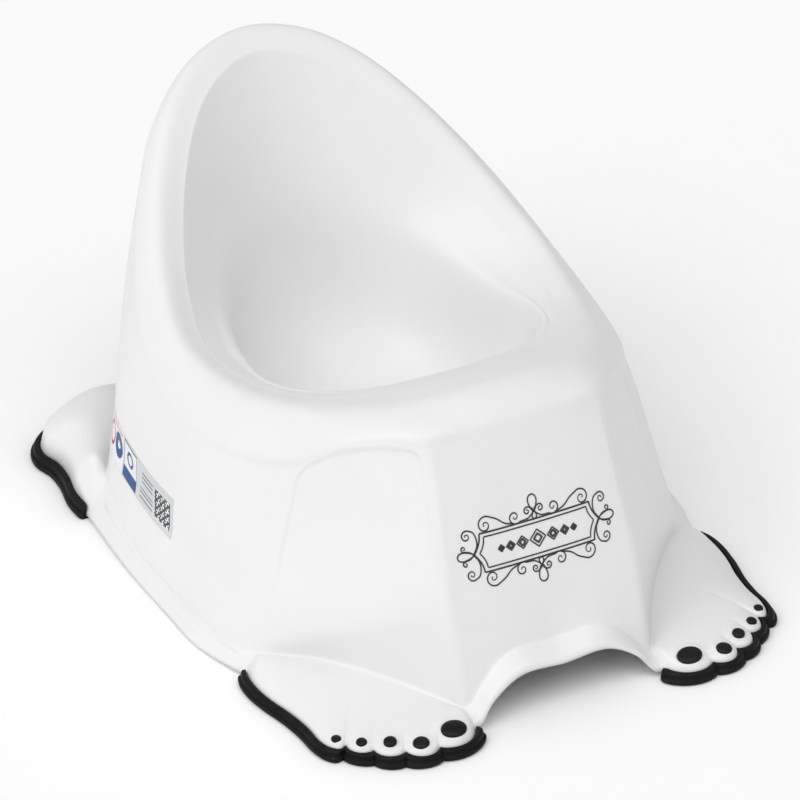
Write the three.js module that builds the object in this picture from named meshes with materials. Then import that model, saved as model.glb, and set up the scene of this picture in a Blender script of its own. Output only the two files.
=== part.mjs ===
// Potty training chair: a one-piece moulded high-back seat with an integral bowl, standing on four
// foot-shaped corners. Each foot has a soft rubber grip round its edge, and each front foot carries
// five rubber toe pads. Millimetres, +Z up, front towards -Y, origin on the floor below the middle.
import * as THREE from "three";

// ---- driving dimensions -------------------------------------------------------------------------
const WALL = 3;            // thickness of the moulded shell
const REST = 2;            // height of the shell's lower edge at the feet, where the grips carry it
const GAP = 0.3;           // clearance between neighbouring pieces
const GRIP_OUT = 4.2;      // how far a rubber edge band stands out from the shell
const GRIP_UNDER = 5;      // how far the band reaches under the shell

const WHITE = { color: 0xf2f3f4, roughness: 0.42, metalness: 0 };
const RUBBER = { color: 0x141414, roughness: 0.6, metalness: 0 };
const LABEL = { color: 0xdfe3e6, roughness: 0.35, metalness: 0 };
const PRINT = { color: 0x3a3d40, roughness: 0.5, metalness: 0 };

// ---- control loops ------------------------------------------------------------------------------
// Every loop runs through the same fifteen stations of the right-hand half, from the front centre to
// the back centre, as [x, y, z]. The left-hand half is its mirror image.
// 0 front centre, 1 front face, 2 inner ridge, 3 and 4 corner panel, 5 outer ridge, 6 to 8 side,
// 9 rear foot's front end, 10 and 11 rear foot, 12 rear foot's inner end, 13 back, 14 back centre.
const INNER_RIDGE = 2;
const OUTER_RIDGE = 5;
const REAR_FOOT_FRONT = 9;
const REAR_FOOT_INNER = 12.6;
const LAST = 14;

// top of the flared skirt, and the crease where the feet meet the wall
const CREASE = [
  [0, -161, 31], [29, -163, 30.5], [53, -168, 8], [74, -132, 10.5], [98, -101, 12.5],
  [124, -78, 11], [130.5, -48, 11], [133, -10, 12], [133, 32, 14], [126, 82, 21],
  [109.5, 108, 24], [91, 134, 26], [70, 156, 22], [38, 173, 27], [0, 180, 32],
];
// lower edge of the corner panels, a diagonal from the inner ridge down to the outer ridge
const ANKLE = [
  [0, -152.8, 58], [28, -152.4, 58], [53.5, -150.5, 57], [75, -130, 44], [99, -104, 29],
  [121, -78, 17], [126, -46, 32], [129, -10, 34], [129.5, 32, 36], [122.5, 80, 45],
  [107.5, 107, 58], [89.5, 133, 66], [68.5, 155, 68], [37, 172, 70], [0, 179, 70],
];
// upper edge of the corner panels
const PANEL_TOP = [
  [0, -124.6, 133], [25, -123.8, 132.5], [48.5, -120.5, 132], [64, -103, 131], [80, -84, 122.5],
  [94, -66.5, 104], [109, -40, 98], [118, -6, 96], [120.5, 30, 100], [112.5, 72, 121.5],
  [100.5, 98.5, 143], [83.5, 125, 164], [63.5, 149, 183], [34.5, 166.5, 198.5], [0, 174, 204.5],
];
// outer edge of the rolled rim
const SHOULDER = [
  [0, -121, 139], [25, -120.5, 138.5], [48, -117, 138], [66.5, -103.5, 134], [82.5, -85, 124],
  [95.5, -67, 111], [108, -39, 104.5], [116.5, -6, 102], [119, 30, 106], [111, 71.5, 127.5],
  [98.5, 97.5, 149], [82, 124, 170], [61.5, 147.5, 189.5], [34, 165, 205.5], [0, 172.5, 211.5],
];
// highest line of the rim
const CREST = [
  [0, -106, 149], [25, -105, 148], [47, -98, 144.5], [63, -84, 139.5], [77, -65, 132.5],
  [87.5, -45, 126.5], [96.5, -18, 121.5], [102.5, 14, 121], [104, 42, 127], [97.5, 72, 142],
  [87.5, 96.5, 159.5], [72, 123, 180.5], [53.5, 145, 198], [29.5, 160.5, 210.5], [0, 167.5, 215.5],
];
// inner edge of the rolled rim
const INNER = [
  [0, -90, 145.5], [23, -88.5, 144.5], [41, -82, 141], [54, -69, 135.5], [66, -51, 129],
  [76, -31, 123.5], [84.5, -8, 119], [90, 18, 118], [91, 42, 122.5], [84.5, 69, 136.5],
  [75, 91.5, 153], [61, 115, 173], [44.5, 135, 190], [24.5, 149, 202], [0, 155.5, 207],
];
// lip of the bowl
const LIP = [
  [0, -57, 128.5], [19.5, -55.5, 128], [38.5, -50.5, 126], [54, -41.5, 123.5], [66.5, -29, 121],
  [74, -14.5, 118], [76, 4, 114.5], [73, 26, 111.5], [69.5, 46, 111.5], [63, 66, 113.5],
  [54.5, 84, 118.5], [43, 99, 124], [30, 110, 129], [15, 117, 132], [0, 119, 133],
];
// wall of the bowl, halfway down
const BOWL = [
  [0, -45, 76], [16, -44, 76], [30, -39, 75], [41, -30, 73], [50, -17, 70],
  [56, -3, 67], [59, 12, 65], [59, 28, 63], [57, 44, 63], [51, 61, 64],
  [43, 74, 66], [33, 85, 69], [22, 93, 72], [11, 98, 74], [0, 100, 75],
];
// edge of the bowl's floor
const FLOOR = [
  [0, -22, 45], [9, -21, 45], [17, -17, 44.5], [24, -11, 44], [29, -3, 43.5],
  [32, 6, 43], [33, 16, 42.5], [33, 27, 42.5], [31, 38, 42.5], [28, 47, 43],
  [23, 55, 43.5], [17, 61, 44], [11, 65, 44.5], [5, 67, 45], [0, 68, 45],
];
const FLOOR_CENTRE = [0, 24, 40];

// Lower edge of the shell. The skirt's edge follows the stations, and the feet have outlines of their
// own, which start and end on it.
const FRONT_ARCH = [[0, -174, 22.5], [25, -174, 23], [42, -176, 13], [49, -178, REST]];
const FRONT_FOOT = [
  [49, -178, REST], [55, -183, REST], [62, -188.5, REST], [71, -191, REST], [78.5, -189, REST],
  [82, -187.5, REST], [87, -191, REST], [93.5, -188.5, REST], [96, -184.5, REST], [99, -184.5, REST],
  [104, -181.5, REST], [106.5, -177, REST], [109.5, -176.5, REST], [115.5, -173.5, REST],
  [118, -168.5, REST], [121, -167.5, REST], [125, -162.5, REST], [126.5, -153, REST],
  [127, -140, REST], [130, -122, REST], [134.5, -106, REST], [134.5, -93, REST], [130.5, -80, REST],
];
const SIDE = [[130.5, -80, REST], [140, -47, 0.8], [140.5, -10, 0.8], [140, 32, 0.8], [136.5, 84, REST]];
const REAR_FOOT = [
  [136.5, 84, REST], [136.5, 100, REST], [133, 118, REST], [132.5, 131, REST], [135, 143, REST],
  [132.5, 153, REST], [125, 161, REST], [113, 167, REST], [99, 171.5, REST], [85, 173, REST],
  [73, 173, REST], [64, 175, REST],
];
const REAR_ARCH = [[64, 175, REST], [52, 179, 8], [30, 184.5, 15], [0, 187, 17]];

// ---- curves -------------------------------------------------------------------------------------
const vectors = (points) => points.map((p) => new THREE.Vector3(...p));
const spline = (points) => new THREE.CatmullRomCurve3(vectors(points), false, "catmullrom", 0.5);
const curve = (points) => new THREE.CatmullRomCurve3(vectors(points), false, "centripetal");

// A half loop as a smooth curve: s runs from 0 to LAST, station by station.
function smoothLoop(points) {
  const [before, after] = [points[1], points[LAST - 1]].map(([x, y, z]) => [-x, y, z]);
  const whole = spline([before, ...points, after]);
  return (s) => whole.getPoint((s + 1) / (LAST + 2));
}

// A half loop with corners at the two ridges beside each corner panel.
function ridgedLoop(points) {
  const cuts = [0, INNER_RIDGE, OUTER_RIDGE, LAST];
  const spans = cuts.slice(1).map((end, i) => spline(points.slice(cuts[i], end + 1)));
  return (s) => {
    const i = s < INNER_RIDGE ? 0 : s < OUTER_RIDGE ? 1 : 2;
    return spans[i].getPoint((s - cuts[i]) / (cuts[i + 1] - cuts[i]));
  };
}

// Lower edge of the shell at s. Each stretch runs from one station to another.
const STRETCHES = [
  { from: 0, to: INNER_RIDGE, line: curve(FRONT_ARCH) },
  { from: INNER_RIDGE, to: OUTER_RIDGE, line: curve(FRONT_FOOT) },
  { from: OUTER_RIDGE, to: REAR_FOOT_FRONT, line: curve(SIDE) },
  { from: REAR_FOOT_FRONT, to: REAR_FOOT_INNER, line: curve(REAR_FOOT) },
  { from: REAR_FOOT_INNER, to: LAST, line: curve(REAR_ARCH) },
];
function edge(s) {
  const stretch = STRETCHES.find(({ to }) => s <= to);
  return stretch.line.getPointAt((s - stretch.from) / (stretch.to - stretch.from));
}

const loops = {
  crease: ridgedLoop(CREASE), ankle: ridgedLoop(ANKLE), panelTop: ridgedLoop(PANEL_TOP),
  shoulder: smoothLoop(SHOULDER), crest: smoothLoop(CREST), inner: smoothLoop(INNER),
  lip: smoothLoop(LIP), bowl: smoothLoop(BOWL), floor: smoothLoop(FLOOR),
};

// ---- feet ---------------------------------------------------------------------------------------
// Each foot spreads out from a point inside it. side gives the slope of the shell above its edge:
// how far it leans in and how high it rises before the top of the foot begins. crown is the height
// of the foot's top above the straight line from there to the wall, which it loses over the last fall
// stations, and grip the height of its rubber edge band.
const ENDS = 0.12;         // stations over which a foot's shape gives way to the skirt's
const FEET = {
  front: {
    from: INNER_RIDGE, to: OUTER_RIDGE, centre: [88, -118], side: [2.2, 5], crown: 3.5, fall: ENDS, grip: 6.5,
  },
  rear: {
    from: REAR_FOOT_FRONT, to: REAR_FOOT_INNER, centre: [88, 138], side: [4, 17], crown: 10, fall: 1.4,
    grip: 8,
  },
};
const SKIRT = { side: [1.2, 3], crown: 0 };

const clamp01 = (t) => Math.min(1, Math.max(0, t));
const footAt = (s) => Object.values(FEET).find(({ from, to }) => s > from && s < to);

function outward(foot, point) {
  return new THREE.Vector3(point.x - foot.centre[0], point.y - foot.centre[1], 0).normalize();
}

function footShape(s, low, crease) {
  const foot = footAt(s);
  const inward = new THREE.Vector3().subVectors(crease, low).setZ(0).normalize();
  if (!foot) return { inward, ...SKIRT };
  const share = clamp01(Math.min(s - foot.from, foot.to - s) / ENDS);
  const mix = (a, b) => a + (b - a) * share;
  return {
    inward: inward.lerp(outward(foot, low).negate(), share).normalize(),
    side: [mix(SKIRT.side[0], foot.side[0]), mix(SKIRT.side[1], foot.side[1])],
    crown: mix(SKIRT.crown, foot.crown * clamp01((foot.to - s) / foot.fall)),
  };
}

// ---- shell --------------------------------------------------------------------------------------
const FOOT_ROWS = [0.25, 0.5, 0.75];
const WALL_ROWS = [0, 0.33, 0.66];
const FRONT_BULGE = 0.6;
const SIDE_BULGE = 2.2;

// Where the rows above the wall lie, counted in loops: 1 is the panel top, 3 the crest, 5 the lip.
const UPPER_KNOTS = [1, 2, 2.5, 3, 3.5, 4, 4.5, 5, 5.35, 6, 6.6, 7];
const UPPER_SPANS = 8;

// How far the wall stands out between its lower and upper lines. The corner panels are flat.
function wallBulge(s) {
  if (s < INNER_RIDGE) return FRONT_BULGE;
  if (s < OUTER_RIDGE) return 0;
  return SIDE_BULGE * Math.sin((Math.PI / 2) * clamp01((s - OUTER_RIDGE) / 2));
}

// One rib of the outer surface, from the lower edge up the wall, over the rim and down into the bowl.
function rib(s) {
  const low = edge(s);
  const crease = loops.crease(s);
  const { inward, side, crown } = footShape(s, low, crease);
  const knee = low.clone().addScaledVector(inward, side[0]);
  knee.z += side[1];
  const rows = [low, knee];
  for (const t of FOOT_ROWS) {
    const point = knee.clone().lerp(crease, t);
    point.z += crown * 4 * t * (1 - t);
    rows.push(point);
  }
  const ankle = loops.ankle(s);
  const top = loops.panelTop(s);
  const out = new THREE.Vector3(ankle.x, ankle.y, 0).normalize();
  rows.push(crease);
  for (const t of WALL_ROWS) {
    rows.push(ankle.clone().lerp(top, t).addScaledVector(out, wallBulge(s) * 4 * t * (1 - t)));
  }
  const upper = new THREE.CatmullRomCurve3([
    ankle.clone().lerp(top, 0.7), top,
    ...["shoulder", "crest", "inner", "lip", "bowl", "floor"].map((name) => loops[name](s)),
    new THREE.Vector3(...FLOOR_CENTRE),
  ], false, "centripetal");
  for (const knot of UPPER_KNOTS) rows.push(upper.getPoint(knot / UPPER_SPANS));
  return rows;
}

// The stations at which ribs stand, closer together round the toes.
const RIBS = [
  [0, INNER_RIDGE, 5], [INNER_RIDGE, OUTER_RIDGE, 24], [OUTER_RIDGE, REAR_FOOT_FRONT, 9],
  [REAR_FOOT_FRONT, REAR_FOOT_INNER, 12], [REAR_FOOT_INNER, LAST, 4],
];
function ribStations() {
  const stations = RIBS.flatMap(([from, to, count]) =>
    Array.from({ length: count }, (_, i) => from + ((to - from) * i) / count));
  return [...stations, LAST];
}

const mirror = (point) => new THREE.Vector3(-point.x, point.y, point.z);

// The outer surface as a grid of points: ring by ring, all the way round the body.
function outerGrid() {
  const right = ribStations().map(rib);
  const left = right.slice(1, -1).reverse().map((points) => points.map(mirror));
  return [...right, ...left];
}

function gridNormal(grid, column, row) {
  const n = grid.length;
  const [next, previous] = [grid[(column + 1) % n], grid[(column + n - 1) % n]];
  const across = new THREE.Vector3().subVectors(next[row], previous[row]);
  const last = grid[column].length - 1;
  const along = new THREE.Vector3().subVectors(
    grid[column][Math.min(row + 1, last)], grid[column][Math.max(row - 1, 0)]);
  return across.cross(along).normalize();
}

// The underside, one wall thickness in from the outer surface, on fewer rows.
const UNDER_ROWS = [2, 4, 5, 6, 8, 10, 12, 14, 16, 18, 20];
function underGrid(grid) {
  return grid.map((points, column) => {
    const low = points[0];
    const inward = new THREE.Vector3().subVectors(points[1], low).setZ(0).normalize();
    const under = UNDER_ROWS.map((row) =>
      points[row].clone().addScaledVector(gridNormal(grid, column, row), -WALL));
    return [low.clone().addScaledVector(inward, WALL), ...under];
  });
}

class MeshBuilder {
  constructor() {
    this.positions = [];
    this.index = [];
  }
  add(point) {
    this.positions.push(point.x, point.y, point.z);
    return this.positions.length / 3 - 1;
  }
  grid(columns) {
    return columns.map((points) => points.map((point) => this.add(point)));
  }
  triangle(a, b, c) {
    this.index.push(a, b, c);
  }
  quad(a, b, c, d) {
    this.triangle(a, b, c);
    this.triangle(a, c, d);
  }
  geometry() {
    const geometry = new THREE.BufferGeometry();
    geometry.setAttribute("position", new THREE.Float32BufferAttribute(this.positions, 3));
    geometry.setIndex(this.index);
    geometry.computeVertexNormals();
    return geometry;
  }
}

// Joins the outer surface and the underside along the lower edge, and closes both at the bowl's middle.
function shellGeometry(grid) {
  const builder = new MeshBuilder();
  const outer = builder.grid(grid);
  const under = builder.grid(underGrid(grid));
  const centre = new THREE.Vector3(...FLOOR_CENTRE);
  const top = builder.add(centre);
  const bottom = builder.add(centre.clone().setZ(centre.z - WALL));
  const n = outer.length;
  for (let i = 0; i < n; i++) {
    const [a, b] = [outer[i], outer[(i + 1) % n]];
    const [c, d] = [under[i], under[(i + 1) % n]];
    for (let row = 1; row < a.length; row++) builder.quad(a[row - 1], b[row - 1], b[row], a[row]);
    for (let row = 1; row < c.length; row++) builder.quad(d[row - 1], c[row - 1], c[row], d[row]);
    builder.quad(c[0], d[0], b[0], a[0]);
    builder.triangle(a.at(-1), b.at(-1), top);
    builder.triangle(d.at(-1), c.at(-1), bottom);
  }
  return builder.geometry();
}

// ---- rubber grips -------------------------------------------------------------------------------
// Section of the edge band as [distance out from the shell's lower edge, height], with a thin upper
// lip on a thicker lower tier. The upper lip leans in with the shell's side.
function gripSection(foot) {
  const lean = foot.side[0] / foot.side[1];
  const inner = (at) => GAP - lean * (at - REST);
  const height = foot.grip;
  const tier = height * 0.62;
  return [
    [-GRIP_UNDER, 0], [GRIP_OUT - 1.2, 0], [GRIP_OUT, 1.8], [GRIP_OUT - 0.2, tier - 0.6],
    [GRIP_OUT - 1.4, tier], [GRIP_OUT - 1.9, height - 1], [inner(height) + 1.4, height],
    [inner(height), height - 0.3], [GAP, REST - GAP], [-GRIP_UNDER, REST - GAP],
  ];
}

function gripGeometry(foot, sign) {
  const section = gripSection(foot);
  const rings = [];
  for (const s of ribStations().filter((at) => at > foot.from + ENDS / 2 && at < foot.to - ENDS / 2)) {
    const point = edge(s);
    const out = outward(foot, point);
    rings.push(section.map(([distance, height]) => {
      const place = point.clone().addScaledVector(out, distance).setZ(height);
      return sign > 0 ? place : mirror(place);
    }));
  }
  if (sign < 0) rings.reverse();
  const builder = new MeshBuilder();
  const grid = builder.grid(rings);
  const sides = section.length;
  for (let i = 1; i < grid.length; i++) {
    for (let j = 0; j < sides; j++) {
      const k = (j + 1) % sides;
      builder.quad(grid[i - 1][j], grid[i][j], grid[i][k], grid[i - 1][k]);
    }
  }
  const caps = THREE.ShapeUtils.triangulateShape(section.map(([x, y]) => new THREE.Vector2(x, y)), []);
  for (const [a, b, c] of caps) {
    builder.triangle(grid[0][a], grid[0][b], grid[0][c]);
    builder.triangle(grid.at(-1)[a], grid.at(-1)[c], grid.at(-1)[b]);
  }
  return builder.geometry();
}

// ---- small pieces on the shell ------------------------------------------------------------------
// The facet of the outer surface that a line parallel to the given axis meets first, from outside.
function surfaceAt(grid, axis, u, v, columns, rows) {
  const [first, second] = ["x", "y", "z"].filter((name) => name !== axis);
  const hits = [];
  for (const i of columns) {
    const [a, b] = [grid[i], grid[(i + 1) % grid.length]];
    for (let row = rows[0]; row < rows[1]; row++) {
      for (const corners of [[a[row], b[row], b[row + 1]], [a[row], b[row + 1], a[row + 1]]]) {
        const flat = corners.map((point) => new THREE.Vector3(point[first], point[second], 0));
        const share = THREE.Triangle.getBarycoord(new THREE.Vector3(u, v, 0), ...flat, new THREE.Vector3());
        if (!share || Math.min(share.x, share.y, share.z) < -1e-9) continue;
        const place = new THREE.Vector3();
        corners.forEach((point, k) => place.addScaledVector(point, share.getComponent(k)));
        const normal = new THREE.Triangle(...corners).getNormal(new THREE.Vector3());
        hits.push({ place, normal });
      }
    }
  }
  return hits[0];
}

// Rubber toe pads of the right foot as [x, y, half width, half length], the big toe first.
const TOES = [
  [67, -181.3, 7, 5.6], [86, -183, 4.4, 4], [99, -175.3, 3.5, 3.3], [111, -168, 2.9, 2.8],
  [120.3, -159.2, 2.7, 2.6],
];
const PAD_HEIGHT = 1.6;
const PAD_LIFT = 0.5;
const CREASE_ROW = 5;
const FOOT_TOP = [1, CREASE_ROW];   // rows of the grid that make the top of a foot
const UP = new THREE.Vector3(0, 0, 1);

function toePad(grid, [x, y, halfWidth, halfLength], sign) {
  const profile = [[0, 0], [1, 0], [0.96, 0.45], [0.7, 0.85], [0, 1]];
  const geometry = new THREE.LatheGeometry(profile.map(([r, h]) => new THREE.Vector2(r, h)), 14);
  geometry.rotateX(Math.PI / 2);
  geometry.scale(halfWidth, halfLength, PAD_HEIGHT);
  const columns = ribStations().flatMap((s, i) => (s >= INNER_RIDGE && s <= OUTER_RIDGE ? [i] : []));
  const { place, normal } = surfaceAt(grid, "z", x, y, columns, FOOT_TOP);
  const pad = new THREE.Mesh(geometry, material(RUBBER));
  pad.position.copy(place).addScaledVector(normal, PAD_LIFT);
  pad.quaternion.setFromUnitVectors(UP, normal);
  if (sign < 0) {
    pad.position.x *= -1;
    pad.quaternion.y *= -1;
    pad.quaternion.z *= -1;
  }
  return pad;
}

// A sticker that follows the left wall. Its lower and upper edges climb from the front to the back.
const STICKER = { from: 7.2, to: 9.65, low: [34, 39], high: [57.5, 62], rows: 6, thickness: 0.4 };

function ribAtHeight(points, height) {
  const row = points.findIndex((point, i) => i >= CREASE_ROW && points[i + 1].z >= height);
  const [low, high] = [points[row], points[row + 1]];
  return low.clone().lerp(high, (height - low.z) / (high.z - low.z));
}

function stickerGeometry(grid) {
  const columns = ribStations().flatMap((s, i) => (s > STICKER.from && s < STICKER.to ? [i] : []));
  const rows = STICKER.rows;
  const heights = columns.map((_, k) => {
    const [low, high] = [STICKER.low, STICKER.high].map((ends) =>
      THREE.MathUtils.lerp(...ends, k / (columns.length - 1)));
    return Array.from({ length: rows + 1 }, (__, j) => THREE.MathUtils.lerp(low, high, j / rows));
  });
  const layer = (lift) => columns.map((i, k) => heights[k].map((height) => {
    const along = new THREE.Vector3().subVectors(
      ribAtHeight(grid[i + 1], height), ribAtHeight(grid[i - 1], height)).setZ(0).normalize();
    const out = new THREE.Vector3(along.y, -along.x, 0);
    return mirror(ribAtHeight(grid[i], height).addScaledVector(out, lift));
  }));
  const builder = new MeshBuilder();
  const near = builder.grid(layer(GAP));
  const far = builder.grid(layer(GAP + STICKER.thickness));
  const last = near.length - 1;
  for (let i = 0; i < last; i++) {
    for (let j = 0; j < rows; j++) {
      builder.quad(far[i][j], far[i][j + 1], far[i + 1][j + 1], far[i + 1][j]);
      builder.quad(near[i][j], near[i + 1][j], near[i + 1][j + 1], near[i][j + 1]);
    }
    builder.quad(near[i][0], far[i][0], far[i + 1][0], near[i + 1][0]);
    builder.quad(far[i][rows], near[i][rows], near[i + 1][rows], far[i + 1][rows]);
  }
  for (let j = 0; j < rows; j++) {
    builder.quad(far[0][j], near[0][j], near[0][j + 1], far[0][j + 1]);
    builder.quad(near[last][j], far[last][j], far[last][j + 1], near[last][j + 1]);
  }
  return builder.geometry();
}

// A printed frame on the front face, whose ends draw out to a point.
const PLAQUE = { halfWidth: 31, halfHeight: 9.3, point: 4.2, line: 2.2, height: 80, thickness: 0.4 };
const END_STEPS = 8;
const LINE_STEPS = 14;

// The frame's outline as [x, height], counter-clockwise as seen from the front.
function plaqueOutline(inset) {
  const [w, h] = [PLAQUE.halfWidth - inset, PLAQUE.halfHeight - inset];
  const ends = [1, -1].map((side) => Array.from({ length: END_STEPS + 1 }, (_, k) => {
    const t = side * ((2 * k) / END_STEPS - 1);
    return [side * (w + PLAQUE.point * (1 - Math.abs(t)) ** 2), PLAQUE.height + h * t];
  }));
  return ends.flatMap((end, i) => {
    const [x0, y0] = end.at(-1);
    const [x1, y1] = ends[(i + 1) % ends.length][0];
    const line = Array.from({ length: LINE_STEPS - 1 }, (_, k) => {
      const t = (k + 1) / LINE_STEPS;
      return [x0 + (x1 - x0) * t, y0 + (y1 - y0) * t];
    });
    return [...end, ...line];
  });
}

function plaqueGeometry(grid) {
  const right = ribStations().flatMap((s, i) => (s < INNER_RIDGE ? [i] : []));
  const columns = [...right, ...right.map((i) => grid.length - 1 - i)];
  const builder = new MeshBuilder();
  const ring = (inset, lift) => plaqueOutline(inset).map(([x, height]) => {
    const { place } = surfaceAt(grid, "y", x, height, columns, [CREASE_ROW, CREASE_ROW + 4]);
    return builder.add(place.setY(place.y - lift));
  });
  const near = [ring(0, GAP), ring(PLAQUE.line, GAP)];
  const far = [ring(0, GAP + PLAQUE.thickness), ring(PLAQUE.line, GAP + PLAQUE.thickness)];
  const count = near[0].length;
  for (let i = 0; i < count; i++) {
    const j = (i + 1) % count;
    builder.quad(far[0][i], far[0][j], far[1][j], far[1][i]);
    builder.quad(near[0][i], near[1][i], near[1][j], near[0][j]);
    builder.quad(near[0][i], near[0][j], far[0][j], far[0][i]);
    builder.quad(near[1][i], far[1][i], far[1][j], near[1][j]);
  }
  return builder.geometry();
}

// ---- assembly -----------------------------------------------------------------------------------
function material(look) {
  return new THREE.MeshStandardMaterial(look);
}

const potty = new THREE.Group();

function addPiece(name, mesh) {
  mesh.name = name;
  potty.add(mesh);
}

const grid = outerGrid();
addPiece("potty_body", new THREE.Mesh(shellGeometry(grid), material(WHITE)));
for (const [side, sign] of [["right", 1], ["left", -1]]) {
  for (const [end, foot] of Object.entries(FEET)) {
    addPiece(`${end}_${side}_grip`, new THREE.Mesh(gripGeometry(foot, sign), material(RUBBER)));
  }
  TOES.forEach((toe, i) => addPiece(`${side}_toe_pad_${i + 1}`, toePad(grid, toe, sign)));
}
addPiece("side_sticker", new THREE.Mesh(stickerGeometry(grid), material(LABEL)));
addPiece("front_print", new THREE.Mesh(plaqueGeometry(grid), material(PRINT)));

// The origin lies below the middle of the whole object.
const middle = new THREE.Box3().setFromObject(potty).getCenter(new THREE.Vector3());
potty.position.set(0, -middle.y, 0);

export default potty;
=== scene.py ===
# A white moulded potty chair on foot-shaped corners, with rubber grips and toe pads, a printed frame on
# its front and a sticker on its left wall. Shapes are drawn in millimetres, front towards -Y.
import math

import bmesh
import bpy
import numpy as np
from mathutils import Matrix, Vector


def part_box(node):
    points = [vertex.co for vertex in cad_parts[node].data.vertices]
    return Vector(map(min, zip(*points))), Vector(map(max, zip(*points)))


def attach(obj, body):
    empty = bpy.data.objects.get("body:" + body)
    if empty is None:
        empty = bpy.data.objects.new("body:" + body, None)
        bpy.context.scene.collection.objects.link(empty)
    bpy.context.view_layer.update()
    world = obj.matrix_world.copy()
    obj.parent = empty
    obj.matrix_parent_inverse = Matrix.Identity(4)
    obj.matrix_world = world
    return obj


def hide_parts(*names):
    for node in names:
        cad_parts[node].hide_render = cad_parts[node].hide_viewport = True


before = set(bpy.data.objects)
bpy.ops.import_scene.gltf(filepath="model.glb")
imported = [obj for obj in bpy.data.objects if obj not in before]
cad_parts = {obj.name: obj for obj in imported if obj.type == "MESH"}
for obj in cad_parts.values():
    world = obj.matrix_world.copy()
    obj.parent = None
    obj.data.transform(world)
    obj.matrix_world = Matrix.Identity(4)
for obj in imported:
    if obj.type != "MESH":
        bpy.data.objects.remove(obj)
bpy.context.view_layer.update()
scene = bpy.context.scene

# ---- camera ---------------------------------------------------------------------------------------
# The drawing's origin lies inside the potty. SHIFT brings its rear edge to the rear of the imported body.
REAR_EDGE = 187.0
SHIFT = np.array([0.0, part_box("potty_body")[1][1] * 1000 - REAR_EDGE, 0.0])
CAMERA_PLACE = [-1310.9, -2430.9, 1816.6]
CAMERA_AIM = [0, -1.9, 80.9]


def metres(points):
    return (np.asarray(points, float) + SHIFT) / 1000


def box_in_mm(name):
    """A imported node's low and high corners in the drawing."""
    return [np.array(corner) * 1000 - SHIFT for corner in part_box(name)]


camera_data = bpy.data.cameras.new("camera")
camera_data.lens = 288
camera_data.sensor_width = 36
camera_data.clip_end = 20
camera = bpy.data.objects.new("camera", camera_data)
camera.location = Vector(metres(CAMERA_PLACE))
look = Vector(metres(CAMERA_AIM)) - camera.location
camera.rotation_euler = look.to_track_quat("-Z", "Y").to_euler()
scene.collection.objects.link(camera)
scene.camera = camera
scene.view_settings.view_transform = "Standard"

# ---- drawing of the shell -------------------------------------------------------------------------
# Loops round the right-hand half, through fifteen stations from the front centre to the back centre.
LAST = 14
INNER_RIDGE, OUTER_RIDGE, REAR_FRONT, REAR_INNER = 2.0, 5.0, 9.0, 12.6
CREASE = [
    [0, -161, 31], [29, -163, 30.5], [53, -168, 8], [74, -132, 10.5], [98, -101, 12.5],
    [124, -78, 11], [130.5, -48, 11], [133, -10, 12], [133, 32, 14], [126, 82, 21],
    [109.5, 108, 24], [91, 134, 26], [70, 156, 22], [38, 173, 27], [0, 180, 32],
]
ANKLE = [
    [0, -152.8, 58], [28, -152.4, 58], [53.5, -150.5, 57], [75, -130, 44], [99, -104, 29],
    [121, -78, 17], [126, -46, 32], [129, -10, 34], [129.5, 32, 36], [122.5, 80, 45],
    [107.5, 107, 58], [89.5, 133, 66], [68.5, 155, 68], [37, 172, 70], [0, 179, 70],
]
PANEL_TOP = [
    [0, -124.6, 133], [25, -123.8, 132.5], [48.5, -120.5, 132], [65.3, -104.6, 131], [81.6, -85.8, 122.5],
    [94, -66.5, 104], [109, -40, 98], [118, -6, 96], [120.5, 30, 100], [112.5, 72, 121.5],
    [100.5, 98.5, 143], [83.5, 125, 164], [63.5, 149, 183], [34.5, 166.5, 198.5], [0, 174, 204.5],
]
SHOULDER = [
    [0, -121, 139], [25, -120.5, 138.5], [48, -117, 138], [65, -102.6, 135], [81, -83.6, 126.5],
    [93.6, -65.6, 111], [108, -39, 104.5], [116.5, -6, 102], [119, 30, 106], [111, 71.5, 127.5],
    [98.5, 97.5, 149], [82, 124, 170], [61.5, 147.5, 189.5], [34, 165, 205.5], [0, 172.5, 211.5],
]
CREST = [
    [0, -106, 149], [25, -105, 148], [47, -98, 144.5], [63, -84, 139.5], [77, -65, 132.5],
    [87.5, -45, 126.5], [96.5, -18, 121.5], [102.5, 14, 121], [104, 42, 127], [97.5, 72, 142],
    [87.5, 96.5, 159.5], [72, 123, 180.5], [53.5, 145, 198], [29.5, 160.5, 210.5], [0, 167.5, 215.5],
]
INNER = [
    [0, -90, 145.5], [23, -88.5, 144.5], [41, -82, 141], [54, -69, 135.5], [66, -51, 129],
    [76, -31, 123.5], [84.5, -8, 119], [90, 18, 118], [91, 42, 122.5], [84.5, 69, 136.5],
    [75, 91.5, 153], [61, 115, 173], [44.5, 135, 190], [24.5, 149, 202], [0, 155.5, 207],
]
LIP = [
    [0, -57, 128.5], [19.5, -55.5, 128], [38.5, -50.5, 126], [54, -41.5, 123.5], [66.5, -29, 121],
    [74, -14.5, 118], [76, 4, 114.5], [73, 26, 111.5], [69.5, 46, 111.5], [63, 66, 113.5],
    [54.5, 84, 118.5], [43, 99, 124], [30, 110, 129], [15, 117, 132], [0, 119, 133],
]
BOWL = [
    [0, -45, 76], [16, -44, 76], [30, -39, 75], [41, -30, 73], [50, -17, 70],
    [56, -3, 67], [59, 12, 65], [59, 28, 63], [57, 44, 63], [51, 61, 64],
    [43, 74, 66], [33, 85, 69], [22, 93, 72], [11, 98, 74], [0, 100, 75],
]
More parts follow.
